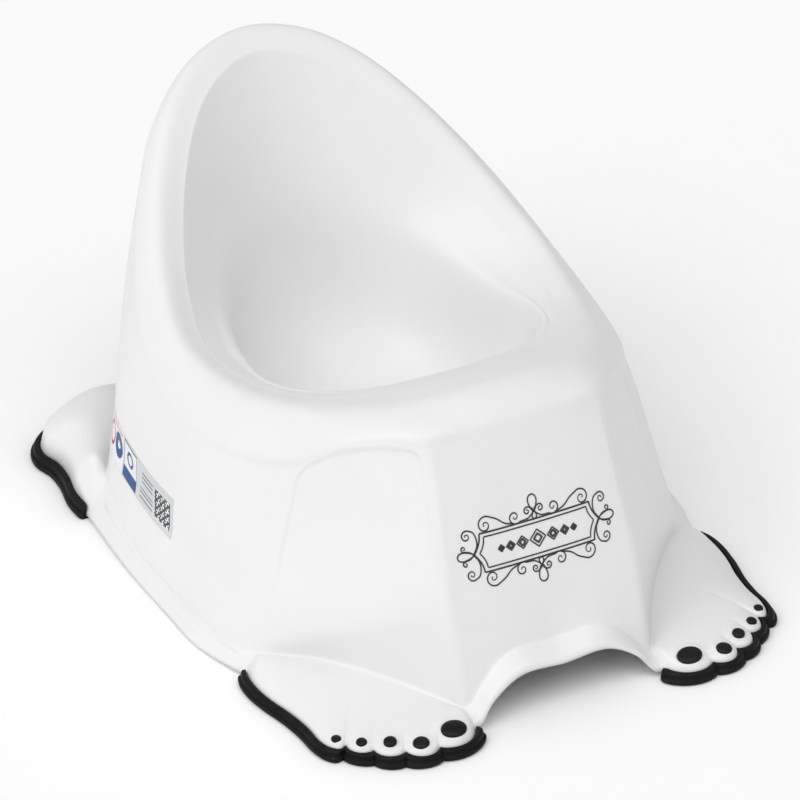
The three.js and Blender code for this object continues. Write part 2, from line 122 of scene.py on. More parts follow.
FLOOR = [
    [0, -22, 45], [9, -21, 45], [17, -17, 44.5], [24, -11, 44], [29, -3, 43.5],
    [32, 6, 43], [33, 16, 42.5], [33, 27, 42.5], [31, 38, 42.5], [28, 47, 43],
    [23, 55, 43.5], [17, 61, 44], [11, 65, 44.5], [5, 67, 45], [0, 68, 45],
]
FLOOR_CENTRE = [0, 24, 40]

# lower edge of the shell; the front foot's is made of toe lobes and a side
FRONT_ARCH = [[0, -174, 22.5], [25, -174, 23], [42, -176, 13], [49, -178, 4], [54, -179, 2]]
SIDE = [[131, -82, 2], [139.8, -47, 0.8], [140.3, -10, 0.8], [139.9, 32, 0.8], [136.5, 84, 2]]
REAR_FOOT = [
    [136.5, 84, 2], [136.5, 100, 2], [133, 118, 2], [132.5, 131, 2], [135, 143, 2], [132.5, 153, 2],
    [125, 161, 2], [113, 167, 2], [99, 171.5, 2], [85, 173, 2], [73, 173, 2], [64, 175, 2],
]
REAR_ARCH = [[64, 175, 2], [52, 179, 8], [30, 184.5, 15], [0, REAR_EDGE, 17]]
NOTCHES = [[54, -179], [77.5, -187.2], [94.2, -182.5], [107.5, -174.1], [117.5, -164]]
LOBES = [7.4, 5.9, 4.7, 4.2]
FOOT_SIDE = [
    [117.5, -164], [121.5, -165.3], [125.3, -161.5], [127.3, -154.5], [127.3, -142], [129, -127],
    [132.6, -110], [133.6, -98], [132.8, -88], [131, -82],
]
# outer edge of the front grip, with the same lobes but shallower
GRIP_NOTCHES = [[49.5, -182.5], [78, -191.8], [96.8, -187.6], [109.8, -179.2], [121, -168]]
GRIP_LOBES = [6.8, 3.9, 3.0, 2.6]
GRIP_SIDE = [
    [121, -168], [125.3, -168.4], [129.4, -163.5], [131.5, -154], [131.6, -142], [133.2, -127],
    [136.8, -110], [138, -98], [137.2, -88], [135, -81.5],
]

# Each foot spreads out from a centre. side is how far the shell leans in above its edge and how high it
# rises there, and crown how far the foot's top stands above a straight slope up to the wall. The shape
# starts over the first start stations and stops over the last stop, and the crown sinks over the last sink.
FRONT_FOOT = {
    "first": INNER_RIDGE, "last": OUTER_RIDGE, "centre": np.array([88.0, -118.0]),
    "side": (1.6, 4.6), "crown": 3.5, "start": 0.16, "stop": 0.16, "sink": 0,
}
REAR_FOOT_SHAPE = {
    "first": REAR_FRONT, "last": REAR_INNER, "centre": np.array([88.0, 138.0]),
    "side": (4.0, 17.0), "crown": 10.0, "start": 0.4, "stop": 0.16, "sink": 1.4,
}
SKIRT_SIDE = (1.2, 3.0)

WALL = 3.0
SIDE_BULGE, FRONT_BULGE = 2.2, 0.6
CREASE_FILLET, ANKLE_FILLET_BELOW, ANKLE_FILLET_ABOVE, KNEE_FILLET = 3.2, 5, 7, 1.5
SKIRT_BAND, SKIRT_LIP = 2.1, 0.7
PANEL_WIDTH_LOW, PANEL_WIDTH_HIGH, PANEL_HEIGHT = 99, 70, 90
RECESS_DEPTH = 1.4
TOE_SAMPLES, TOE_REACH = 40, 4.6
DOME_HEIGHT, COLLAR_HEIGHT, COLLAR_MARGIN = 0.8, 0.55, 2.6
FRONT_GRIP_HEIGHT, REAR_GRIP_HEIGHT, REAR_GRIP_DEPTH = 6.3, 8, 4.1
FRONT_GRIP_LEAN = 0.1
REAR_GRIP_LEAN = 0.8 * REAR_FOOT_SHAPE["side"][0] / REAR_FOOT_SHAPE["side"][1]


# ---- curves ---------------------------------------------------------------------------------------
def hermite(p1, p2, t1, t2, w):
    w2, w3 = w * w, w * w * w
    return (2 * w3 - 3 * w2 + 1) * p1 + (w3 - 2 * w2 + w) * t1 + (3 * w2 - 2 * w3) * p2 + (w3 - w2) * t2


def spline(points, at, centripetal=False):
    """Points of a Catmull-Rom curve. points has shape (..., count, 3); at counts spans from 0."""
    points = np.asarray(points, float)
    count = points.shape[-2]
    first = 2 * points[..., :1, :] - points[..., 1:2, :]
    final = 2 * points[..., -1:, :] - points[..., -2:-1, :]
    padded = np.concatenate([first, points, final], axis=-2)
    span = np.clip(np.floor(at).astype(int), 0, count - 2)
    weight = (at - span)[:, None]
    p0, p1, p2, p3 = (padded[..., span + k, :] for k in range(4))
    if not centripetal:
        return hermite(p1, p2, (p2 - p0) / 2, (p3 - p1) / 2, weight)
    d0, d1, d2 = (np.sqrt(np.linalg.norm(b - a, axis=-1, keepdims=True)).clip(1e-3)
                  for a, b in ((p0, p1), (p1, p2), (p2, p3)))
    t1 = ((p1 - p0) / d0 - (p2 - p0) / (d0 + d1) + (p2 - p1) / d1) * d1
    t2 = ((p2 - p1) / d1 - (p3 - p1) / (d1 + d2) + (p3 - p2) / d2) * d1
    return hermite(p1, p2, t1, t2, weight)


def smooth_loop(points, s):
    points = np.asarray(points, float)
    flip = np.array([-1, 1, 1])
    whole = np.vstack([points[1] * flip, points, points[-2] * flip])
    return spline(whole, s + 1)


def ridged_loop(points, s):
    points = np.asarray(points, float)
    cuts = [0, 2, 5, LAST]
    result = np.zeros((len(s), 3))
    for a, b in zip(cuts, cuts[1:]):
        inside = (s >= a) & (s <= b) if a == 0 else (s > a) & (s <= b)
        result[inside] = spline(points[a:b + 1], s[inside] - a)
    return result


def rounded_loop(points, s):
    """A ridged loop with its two corners rounded over."""
    spread = 0.10 * np.exp(-((s - INNER_RIDGE) / 0.35) ** 2) + 0.15 * np.exp(-((s - OUTER_RIDGE) / 0.4) ** 2)
    total = np.zeros((len(s), 3))
    weights = 0
    for k in np.linspace(-2, 2, 17):
        weight = math.exp(-k * k / 2)
        total += weight * ridged_loop(points, np.clip(s + k * spread, 0, LAST))
        weights += weight
    return total / weights


def by_length(points, share, measured=3):
    """Points at given shares of a polyline's length, measured over its first columns."""
    points = np.asarray(points, float)
    steps = np.linalg.norm(np.diff(points[:, :measured], axis=0), axis=1)
    along = np.concatenate([[0], np.cumsum(steps)])
    return np.stack([np.interp(share * along[-1], along, column) for column in points.T], axis=1)


def sampled(points, count=400):
    return spline(points, np.linspace(0, len(points) - 1, count), centripetal=True)


def lobed(notches, heights, side):
    """Outline of a foot: an arc over each toe from notch to notch, then the foot's side."""
    line = []
    for (a, b), height in zip(zip(notches, notches[1:]), heights):
        a, b = np.array(a, float), np.array(b, float)
        along = b - a
        out = np.array([along[1], -along[0]]) / np.linalg.norm(along)
        t = np.linspace(0, 1, TOE_SAMPLES, endpoint=False)
        rise = height * (1 - (2 * t - 1) ** 2) ** 0.72
        line.append(a + t[:, None] * along + rise[:, None] * out)
    rest = spline(np.pad(np.array(side, float), ((0, 0), (0, 1))), np.linspace(0, len(side) - 1, 220), True)
    line.append(rest[:, :2])
    return np.vstack(line)


def lower_edge(s):
    foot = lobed(NOTCHES, LOBES, FOOT_SIDE)
    foot = np.column_stack([foot, np.full(len(foot), 2.0)])
    stretches = [
        (0, INNER_RIDGE, sampled(FRONT_ARCH)), (INNER_RIDGE, OUTER_RIDGE, foot),
        (OUTER_RIDGE, REAR_FRONT, sampled(SIDE)), (REAR_FRONT, REAR_INNER, sampled(REAR_FOOT)),
        (REAR_INNER, LAST, sampled(REAR_ARCH)),
    ]
    result = np.zeros((len(s), 3))
    for a, b, line in stretches:
        inside = (s >= a) & (s <= b)
        result[inside] = by_length(line, (s[inside] - a) / (b - a))
    return result


def toeless_edge(s):
    """The front foot's edge with straight chords for toes, and a third column that is 1 along the toes."""
    edge, chords = lobed(NOTCHES, LOBES, FOOT_SIDE), lobed(NOTCHES, [0] * len(LOBES), FOOT_SIDE)
    toes = (np.arange(len(edge)) < TOE_SAMPLES * len(LOBES)).astype(float)
    share = np.clip((s - INNER_RIDGE) / (OUTER_RIDGE - INNER_RIDGE), 0, 1)
    return by_length(np.column_stack([edge, chords, toes]), share, 2)[:, 2:]


# ---- shell surface --------------------------------------------------------------------------------
def unit(vectors):
    return vectors / np.linalg.norm(vectors, axis=-1, keepdims=True).clip(1e-9)


def fillet(before, corner, after, count):
    t = np.linspace(0, 1, count)[None, :, None]
    before, corner, after = before[:, None, :], corner[:, None, :], after[:, None, :]
    return (1 - t) ** 2 * before + 2 * t * (1 - t) * corner + t ** 2 * after


def ease(t):
    t = np.clip(t, 0, 1)
    return t * t * (3 - 2 * t)


def toward(a, b, distance):
    """The point at a distance from a towards b, at most 45% of the way."""
    gap = np.linalg.norm(b - a, axis=1, keepdims=True)
    return a + (b - a) * np.minimum(distance / gap.clip(1e-6), 0.45)


def panel_recess(s, share):
    """Depth of the recess in each slanting front panel: crisp and round-cornered above, fading out below."""
    wide = PANEL_WIDTH_LOW + (PANEL_WIDTH_HIGH - PANEL_WIDTH_LOW) * share[None, :]
    u = (s[:, None] - INNER_RIDGE) / (OUTER_RIDGE - INNER_RIDGE) * wide
    v = share[None, :] * PANEL_HEIGHT
    left, right, low, high, radius = 3.0, wide - 1.0, -20, 89.4, 8
    across = abs(u - (left + right) / 2) - (right - left) / 2 + radius
    upward = abs(v - (low + high) / 2) - (high - low) / 2 + radius
    beyond = np.hypot(across.clip(0), upward.clip(0)) + np.minimum(np.maximum(across, upward), 0) - radius
    return RECESS_DEPTH * ease(-beyond / 3) * ease(v / 55)


# places along the upper profile: 1 top of the walls, 2 shoulder, 3 crest, 4 inner edge of the rim's band,
# 5 midway to the bowl, 6 its lip, 7 bowl, 8 its floor, 9 its centre
UPPER_KNOTS = np.concatenate([
    np.linspace(1, 3.7, 38)[1:], np.linspace(3.7, 4.3, 21)[1:], np.linspace(4.3, 8, 48)[1:],
    np.linspace(8, 9, 9)[1:-1]])


def side_shape(s, low, crease):
    """Inward direction of the shell above its edge, its lean and height there, and the foot's crown."""
    inward = crease - low
    inward[:, 2] = 0
    inward = unit(inward)
    lean, height = (np.full(len(s), value) for value in SKIRT_SIDE)
    crown = np.zeros(len(s))
    for foot in (FRONT_FOOT, REAR_FOOT_SHAPE):
        left = foot["last"] - s
        share = ease(np.minimum((s - foot["first"]) / foot["start"], left / foot["stop"]))
        spoke = np.zeros((len(s), 3))
        spoke[:, :2] = unit(foot["centre"] - low[:, :2])
        inward = unit(inward + (spoke - inward) * share[:, None])
        lean += (foot["side"][0] - lean) * share
        height += (foot["side"][1] - height) * share
        sink = ease(left / foot["sink"]) if foot["sink"] else 1
        crown += (foot["crown"] * sink - crown) * share
    return inward, lean, height, crown


def foot_top(s, knee, crease, inward, lean, crown):
    """Rows from the knee above the edge up to the crease at the wall, for feet and skirt alike."""
    t = np.linspace(0, 1, 65)[None, :, None]
    over = knee[:, None, :] + (crease - knee)[:, None, :] * t
    over[:, :, 2] += crown[:, None] * 4 * (t * (1 - t))[:, :, 0]
    # behind the toes the front foot's top is smooth: its height comes from an edge without toes
    plain = toeless_edge(s)
    start = knee.copy()
    start[:, :2] = plain[:, :2] + inward[:, :2] * (lean - TOE_REACH * plain[:, 2])[:, None]
    run = (crease - start)[:, :2]
    along = ((over[:, :, :2] - start[:, None, :2]) * run[:, None, :]).sum(axis=2)
    along /= (run ** 2).sum(axis=1)[:, None]
    smooth = start[:, None, 2] + (crease - start)[:, None, 2] * along
    smooth += crown[:, None] * 4 * along * (1 - along)
    inside = ease(np.minimum(s - INNER_RIDGE, OUTER_RIDGE - s) / 0.16)[:, None]
    behind = ease(np.linalg.norm((over - knee[:, None, :])[:, :, :2], axis=2) / 10)
    over[:, :, 2] += (smooth - over[:, :, 2]) * inside * behind * ease((1 - t[:, :, 0]) / 0.12)
    # the side's skirt: a steep band between a lip below and a narrow ledge above
    skirt = ease((s - OUTER_RIDGE - 0.15) / 0.25) * ease((REAR_FRONT - 0.12 - s) / 0.2)
    swell = SKIRT_BAND * np.exp(-((t - 0.72) / 0.15) ** 2) - SKIRT_LIP * np.exp(-((t - 0.2) / 0.13) ** 2)
    over[:, :, :2] -= inward[:, None, :2] * (skirt[:, None, None] * swell * 0.75)
    over[:, :, 2] += skirt[:, None] * swell[:, :, 0] * 0.65
    return over


def wall_rows(s, low, high, ankle):
    """Rows up the wall from low to high, bulging at the sides, with the front panels' recesses."""
    bulge = SIDE_BULGE * np.sin(math.pi / 2 * np.clip((s - OUTER_RIDGE) / 2, 0, 1))
    bulge = np.where(s < INNER_RIDGE, FRONT_BULGE, bulge)
    out = unit(ankle * np.array([1, 1, 0]))
    share = np.linspace(0, 1, 65)[1:]
    wall = low[:, None, :] + (high - low)[:, None, :] * share[None, :, None]
    wall += out[:, None, :] * (bulge[:, None] * 4 * share * (1 - share))[:, :, None]
    return wall + panel_recess(s, share)[:, :, None] * np.array([-0.72, 0.66, -0.2])


def upper_rows(s, wall, top):
    """Rows from the top of the wall over the rim and down into the bowl."""
    shoulder, crest, inner, lip, bowl, floor = (
        smooth_loop(points, s) for points in (SHOULDER, CREST, INNER, LIP, BOWL, FLOOR))
    middle = inner + (lip - inner) * 0.55
    middle[:, 2] += np.linalg.norm(lip - inner, axis=1) * 0.045 * (1 - ease((s - 2) / 3))
    centre = np.tile(np.array(FLOOR_CENTRE, float), (len(s), 1))
    profile = np.stack([wall[:, -9], top, shoulder, crest, inner, middle, lip, bowl, floor, centre], axis=1)
    flowing = spline(profile, UPPER_KNOTS, centripetal=True)
    band = spline(profile[:, :5], UPPER_KNOTS[UPPER_KNOTS <= 4], centripetal=True)
    inside = spline(profile[:, 4:], UPPER_KNOTS[UPPER_KNOTS > 4] - 4, centripetal=True)
    # beside and behind the seat the rim's band ends in a crisp inner edge
    crisp = ease((s - 3.4) / 3)[:, None, None]
    return flowing + (np.concatenate([band, inside], axis=1) - flowing) * crisp


def shell_ribs(s):
    """Ribs of the outer surface, shape (ribs, rows, 3), and the row numbers of its named lines."""
    low = lower_edge(s)
    crease, ankle, top = (rounded_loop(points, s) for points in (CREASE, ANKLE, PANEL_TOP))
    inward, lean, height, crown = side_shape(s, low, crease)
    knee = low + inward * lean[:, None]
    knee[:, 2] += height
    over = foot_top(s, knee, crease, inward, lean, crown)
    knee_down, knee_out = toward(knee, low, KNEE_FILLET), toward(knee, over[:, 11], KNEE_FILLET)
    crease_up = toward(crease, ankle, CREASE_FILLET)
    ankle_down = toward(ankle, crease, ANKLE_FILLET_BELOW)
    ankle_up = toward(ankle, top, ANKLE_FILLET_ABOVE)
    shin_share = np.linspace(0, 1, 9)[None, 1:-1, None]
    shin = crease_up[:, None, :] + (ankle_down - crease_up)[:, None, :] * shin_share
    wall = wall_rows(s, ankle_up, top, ankle)
    parts = [
        ("edge", low[:, None, :]), ("knee", fillet(knee_down, knee, knee_out, 6)),
        ("foot", over[:, 12:60]), ("crease", fillet(over[:, 60], crease, crease_up, 7)), ("shin", shin),
        ("ankle", fillet(ankle_down, ankle, ankle_up, 7)), ("wall", wall),
        ("upper", upper_rows(s, wall, top)),
    ]
    rows = {}
    at = 0
    for name, part in parts:
        rows[name] = at
        at += part.shape[1]
    return np.concatenate([part for _, part in parts], axis=1), rows


def half_stations():
    cuts = [(0, INNER_RIDGE, 44), (INNER_RIDGE, OUTER_RIDGE, 190), (OUTER_RIDGE, REAR_FRONT, 70),
            (REAR_FRONT, REAR_INNER, 80), (REAR_INNER, LAST, 30)]
    spans = [np.linspace(a, b, n, endpoint=False) for a, b, n in cuts]
    return np.concatenate(spans + [[LAST]])


def whole(half):
    """The right half and its mirror image as one closed ring of ribs."""
    return np.concatenate([half, half[-2:0:-1] * np.array([-1, 1, 1])], axis=0)


def normals_of(grid):
    across = np.roll(grid, -1, axis=0) - np.roll(grid, 1, axis=0)
    along = np.zeros_like(grid)
    along[:, 1:-1] = grid[:, 2:] - grid[:, :-2]
    along[:, 0] = grid[:, 1] - grid[:, 0]
    along[:, -1] = grid[:, -1] - grid[:, -2]
    return unit(np.cross(across, along))


stations = half_stations()
half, ROWS = shell_ribs(stations)
grid = whole(half)

# toes: a low dome round each pad with a raised collar
pads = {}
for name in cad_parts:
    if "toe_pad" in name:
        low_corner, high_corner = box_in_mm(name)
        pads[name] = ((low_corner + high_corner) / 2, (high_corner - low_corner)[:2] / 2)
foot_rows = slice(ROWS["knee"] + 3, ROWS["crease"])
plain_top = grid[:, foot_rows].reshape(-1, 3)
lift = np.zeros(grid.shape[:2])
for centre, size in pads.values():
    offset = grid[:, :, :2] - centre[:2]
    reach = np.linalg.norm(offset / (size + COLLAR_MARGIN), axis=2)
    flat = np.linalg.norm(offset / size, axis=2)
    dome = DOME_HEIGHT * np.clip(1 - (reach / 1.3) ** 2, 0, 1)
    collar = COLLAR_HEIGHT * np.exp(-((flat - 1.2) / 0.16) ** 2)
    lift = np.maximum(lift, dome + collar)
mask = np.zeros(grid.shape[1])
mask[foot_rows] = ease((np.arange(foot_rows.stop - foot_rows.start)) / 3)
grid[:, :, 2] += lift * mask[None, :]


# ---- meshes ---------------------------------------------------------------------------------------
def add_mesh(name, points, faces, materials, face_material=None, smooth_angle=None):
    mesh = bpy.data.meshes.new(name)
    mesh.from_pydata(metres(points).tolist(), [], faces)
    mesh.validate()
    piece = bpy.data.objects.new(name, mesh)
    scene.collection.objects.link(piece)
    for material in materials:
        mesh.materials.append(material)
    if face_material is not None:
        mesh.polygons.foreach_set("material_index", face_material)
    mesh.polygons.foreach_set("use_smooth", [True] * len(mesh.polygons))
    if smooth_angle:
        mesh.set_sharp_from_angle(angle=math.radians(smooth_angle))
    mesh.update()
    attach(piece, "root")
    return piece


def tube_faces(count, rows, closed, offset=0, flip=False):
    """Quads between neighbouring columns of a grid stored column by column."""
    i = np.arange(count if closed else count - 1)
    j = np.arange(rows - 1)
    a = offset + (i[:, None] * rows + j[None, :])
    b = offset + (((i + 1) % count)[:, None] * rows + j[None, :])
    quads = np.stack([a, b, b + 1, a + 1] if not flip else [a, a + 1, b + 1, b], axis=-1)
    return quads.reshape(-1, 4).tolist()


def build_shell(material):
    columns, rows = grid.shape[:2]
    # the underside follows the outer surface on fewer rows, one wall thickness in
    chosen = np.arange(ROWS["foot"] + 5, rows, 2)
    plain = whole(half)
    under = (plain - normals_of(plain) * WALL)[:, chosen]
    for _ in range(6):
        middle = (np.roll(under, 1, axis=0) + np.roll(under, -1, axis=0)) / 2
        under = under * 0.4 + middle * 0.6
    inner_edge = grid[:, 0] + unit((grid[:, 3] - grid[:, 0]) * np.array([1, 1, 0])) * WALL
    under = np.concatenate([inner_edge[:, None], under], axis=1)
    points = [grid.reshape(-1, 3), under.reshape(-1, 3)]
    n_outer, n_under, under_rows = columns * rows, columns * under.shape[1], under.shape[1]
    faces = tube_faces(columns, rows, True)
    faces += tube_faces(columns, under_rows, True, n_outer, flip=True)
    i = np.arange(columns)
    j = (i + 1) % columns
    rim = np.stack([i * rows, n_outer + i * under_rows, n_outer + j * under_rows, j * rows], axis=-1)
    faces += rim.tolist()
    centre = np.array(FLOOR_CENTRE, float)
    top, bottom = n_outer + n_under, n_outer + n_under + 1
    last = rows - 1
    faces += np.stack([i * rows + last, j * rows + last, np.full(columns, top)], axis=-1).tolist()
    last = n_outer + under_rows - 1
    cap = [j * under_rows + last, i * under_rows + last, np.full(columns, bottom)]
    faces += np.stack(cap, axis=-1).tolist()
    points += [centre[None], (centre - [0, 0, WALL])[None]]
    return add_mesh("shell", np.vstack(points), faces, [material])


def build_grip(name, inner, outer, height, lean, sign, material):
    """A band swept between an inner and an outer outline, with a thin upper lip on a thicker tier."""
    out = unit(outer - inner)
    depth = np.linalg.norm(outer - inner, axis=1)
    tier = height * 0.52
    inside = 0.3 - lean * height
    section = [   # share of the depth, distance, height
        (0, -4.5, 0), (1, -1.6, 0), (1, -0.7, 0.25), (1, -0.15, 0.9), (1, 0, 1.7),
        (1, -0.1, tier - 0.7), (1, -0.45, tier - 0.15), (1, -0.95, tier), (1, -1.3, tier + 0.15),
        (1, -1.5, tier + 0.7), (1, -1.7, height - 1.3), (1, -2.1, height - 0.5), (1, -2.8, height - 0.1),
        (0, inside + 0.7, height), (0, inside + 0.15, height - 0.25), (0, inside, height - 0.8),
        (0, 0.3, 1.7), (0, -4.5, 1.7),
    ]
    rings = []
    for share, distance, z in section:
        place = inner + out * (share * depth + distance)[:, None]
        rings.append(np.column_stack([place, np.full(len(place), z)]))
    rings = np.stack(rings, axis=1)
    # both ends round off
    count = len(rings)
    middle = rings.mean(axis=1, keepdims=True)
    for k, squeeze in ((0, 0.62), (1, 0.85), (2, 0.96)):
        for column in (k, count - 1 - k):
            flat = rings[column, :, :2] - middle[column, :, :2]
            rings[column, :, :2] = middle[column, :, :2] + flat * squeeze
            rings[column, :, 2] *= 0.8 + 0.2 * squeeze
    rings[:, :, 0] *= sign
    rows = rings.shape[1]
    faces = []
    for i in range(count - 1):
        for j in range(rows):
            k = (j + 1) % rows
            quad = [i * rows + j, (i + 1) * rows + j, (i + 1) * rows + k, i * rows + k]
            faces.append(quad if sign > 0 else quad[::-1])
    start, end = list(range(rows)), list(range((count - 1) * rows, count * rows))
    faces.append(start if sign > 0 else start[::-1])
    faces.append(end[::-1] if sign > 0 else end)
    return add_mesh(name, rings.reshape(-1, 3), faces, [material], smooth_angle=50)


def top_plane(x, y):
    """Height and normal of the foot's top at a place, by a plane through the points round it."""
    near = plain_top[np.hypot(plain_top[:, 0] - x, plain_top[:, 1] - y) < 5]
    design = np.column_stack([np.ones(len(near)), near[:, 0] - x, near[:, 1] - y])
    (z, slope_x, slope_y), *_ = np.linalg.lstsq(design, near[:, 2], rcond=None)
    return z, unit(np.array([-slope_x, -slope_y, 1.0]))


def build_pad(name, centre, size, material):
    z, normal = top_plane(centre[0], centre[1])
    side = unit(np.cross([0, 1, 0], normal))
    depth = np.cross(normal, side)
    radii = np.array([1.0, 1.0, 0.985, 0.93, 0.82, 0.66, 0.46, 0.22])
    heights = np.array([-0.4, 0.9, 1.3, 1.65, 1.95, 2.15, 2.3, 2.38])
    angles = np.linspace(0, 2 * math.pi, 56, endpoint=False)
    ring = np.cos(angles)[:, None] * side * size[0] + np.sin(angles)[:, None] * depth * size[1]
    base = np.array([centre[0], centre[1], z])
    points = (base + ring[:, None, :] * radii[None, :, None] + normal * heights[None, :, None]).reshape(-1, 3)
    rows = len(radii)
    faces = tube_faces(len(angles), rows, True)
    points = np.vstack([points, base + normal * 2.4, base - normal * 0.4])
    tip = len(angles) * rows
    for i in range(len(angles)):
        j = (i + 1) % len(angles)
        faces.append([i * rows + rows - 1, j * rows + rows - 1, tip])
        faces.append([j * rows, i * rows, tip + 1])
    return add_mesh(name, points, faces, [material], smooth_angle=60)


def wall_at(columns, heights):
    """x and y of the outer wall along some ribs, at each height; shape (ribs, heights, 2)."""
    result = np.zeros((len(columns), len(heights), 2))
    rows = slice(ROWS["crease"] + 3, ROWS["upper"])
    for k, column in enumerate(columns):
        rib = grid[column, rows]
        order = np.argsort(rib[:, 2])
        result[k, :, 0] = np.interp(heights, rib[order, 2], rib[order, 0])
        result[k, :, 1] = np.interp(heights, rib[order, 2], rib[order, 1])
    return result


# ---- materials ------------------------------------------------------------------------------------
def new_material(name):
    material = bpy.data.materials.new(name)
    material.use_nodes = True
    nodes = material.node_tree.nodes
    nodes.clear()
    output = nodes.new("ShaderNodeOutputMaterial")
    shader = nodes.new("ShaderNodeBsdfPrincipled")
    material.node_tree.links.new(shader.outputs["BSDF"], output.inputs["Surface"])
    return material, nodes, material.node_tree.links, shader


def noise(nodes, links, scale, detail=3.0, rough=0.5):
    place = nodes.new("ShaderNodeTexCoord")
    texture = nodes.new("ShaderNodeTexNoise")
    texture.inputs["Scale"].default_value = scale
    texture.inputs["Detail"].default_value = detail
    texture.inputs["Roughness"].default_value = rough
    links.new(place.outputs["Object"], texture.inputs["Vector"])
    return texture.outputs["Fac"]


def mapped(nodes, links, source, low, high, start=0.35, end=0.65):
    node = nodes.new("ShaderNodeMapRange")
    node.inputs["From Min"].default_value = start
    node.inputs["From Max"].default_value = end
    node.inputs["To Min"].default_value = low
    node.inputs["To Max"].default_value = high
    links.new(source, node.inputs["Value"])
    return node.outputs["Result"]


def two_colours(nodes, links, source, dark, light, start=0.35, end=0.65):
    ramp = nodes.new("ShaderNodeValToRGB")
    ramp.color_ramp.elements[0].position = start
    ramp.color_ramp.elements[0].color = (*dark, 1)
    ramp.color_ramp.elements[1].position = end
    ramp.color_ramp.elements[1].color = (*light, 1)
    links.new(source, ramp.inputs["Fac"])
    return ramp.outputs["Color"]


def bump(nodes, links, shader, source, strength, distance):
    node = nodes.new("ShaderNodeBump")
    node.inputs["Strength"].default_value = strength
    node.inputs["Distance"].default_value = distance
    links.new(source, node.inputs["Height"])
    links.new(node.outputs["Normal"], shader.inputs["Normal"])


def moulded_plastic(name, dark, light, low_rough, high_rough, grain, shine=0.5):
    """Cloudy colour, uneven gloss and a fine grain, with edges rubbed a little towards grey in patches."""
    material, nodes, links, shader = new_material(name)
    colour = two_colours(nodes, links, noise(nodes, links, 14, 4, 0.55), dark, light)
    edges = nodes.new("ShaderNodeNewGeometry").outputs["Pointiness"]
    wear = nodes.new("ShaderNodeMath")
    wear.operation = "MULTIPLY"
    links.new(mapped(nodes, links, edges, 0, 0.8, 0.52, 0.6), wear.inputs[0])
    links.new(mapped(nodes, links, noise(nodes, links, 90, 3, 0.6), 0.1, 1), wear.inputs[1])
    rubbed = nodes.new("ShaderNodeMix")
    rubbed.data_type = "RGBA"
    # a colour mix's sockets: 0 is its factor, 6 and 7 its two colours, and output 2 the result
    links.new(wear.outputs[0], rubbed.inputs[0])
    links.new(colour, rubbed.inputs[6])
    rubbed.inputs[7].default_value = (*(0.88 * part + 0.03 for part in light), 1)
    links.new(rubbed.outputs[2], shader.inputs["Base Color"])
    gloss = mapped(nodes, links, noise(nodes, links, 60, 5, 0.6), low_rough, high_rough)
    links.new(gloss, shader.inputs["Roughness"])
    bump(nodes, links, shader, noise(nodes, links, 1600, 2, 0.5), grain, 0.0002)
    shader.inputs["IOR"].default_value = 1.49
    shader.inputs["Specular IOR Level"].default_value = shine
    return material


WHITE = moulded_plastic("shell_white", (0.785, 0.792, 0.785), (0.81, 0.817, 0.81), 0.36, 0.46, 0.05)
RUBBER = moulded_plastic("grip_rubber", (0.004, 0.004, 0.0045), (0.008, 0.008, 0.0085), 0.42, 0.6, 0.35, 0.12)
PAD = moulded_plastic("pad_rubber", (0.005, 0.005, 0.0055), (0.009, 0.009, 0.0095), 0.3, 0.42, 0.12, 0.2)
INK = moulded_plastic("printed_ink", (0.016, 0.017, 0.018), (0.03, 0.031, 0.033), 0.4, 0.55, 0.05)
FILM = moulded_plastic("film_grey", (0.60, 0.62, 0.63), (0.64, 0.66, 0.67), 0.3, 0.42, 0.03, 0.15)
FILM_CLEAR = moulded_plastic("film_clear", (0.79, 0.80, 0.81), (0.82, 0.83, 0.84), 0.25, 0.36, 0.03, 0.15)
FILM_BLUE = moulded_plastic("film_blue", (0.01, 0.06, 0.24), (0.015, 0.10, 0.33), 0.3, 0.42, 0.03, 0.15)
FILM_RED = moulded_plastic("film_red", (0.55, 0.03, 0.03), (0.62, 0.05, 0.04), 0.3, 0.42, 0.03, 0.15)
FILM_TEXT = moulded_plastic("film_text", (0.16, 0.18, 0.2), (0.2, 0.22, 0.24), 0.3, 0.42, 0.03, 0.15)

# ---- pieces ---------------------------------------------------------------------------------------
shell = build_shell(WHITE)
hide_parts("potty_body")

front_inner = lobed(NOTCHES, LOBES, FOOT_SIDE)
front_outer = lobed(GRIP_NOTCHES, GRIP_LOBES, GRIP_SIDE)
rear_line = by_length(sampled(REAR_FOOT)[:, :2], np.linspace(0.02, 0.97, 130))
rear_tangent = unit(np.gradient(rear_line, axis=0))
rear_outer = rear_line + np.column_stack([rear_tangent[:, 1], -rear_tangent[:, 0]]) * REAR_GRIP_DEPTH
for side, sign in (("right", 1), ("left", -1)):
    for end, inner, outer, height in (
            ("front", front_inner, front_outer, FRONT_GRIP_HEIGHT),
            ("rear", rear_line, rear_outer, REAR_GRIP_HEIGHT)):
        node = f"{end}_{side}_grip"
        lean = FRONT_GRIP_LEAN if end == "front" else REAR_GRIP_LEAN
        grip = build_grip(f"rubber_grip_{end}_{side}", inner, outer, height, lean, sign, RUBBER)
        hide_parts(node)
for name, (centre, size) in pads.items():
    pad = build_pad(f"rubber_{name}", centre, size, PAD)
    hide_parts(name)


# sticker on the left wall: a thin film with a generic print of shapes, bars and a checker block. It rises
# a little towards its rear end.
FILM_LOW, FILM_RISE, FILM_HEIGHT, FILM_TAPER = 34.2, 5, 23.3, 0.3
PRINT_HEIGHT = 24


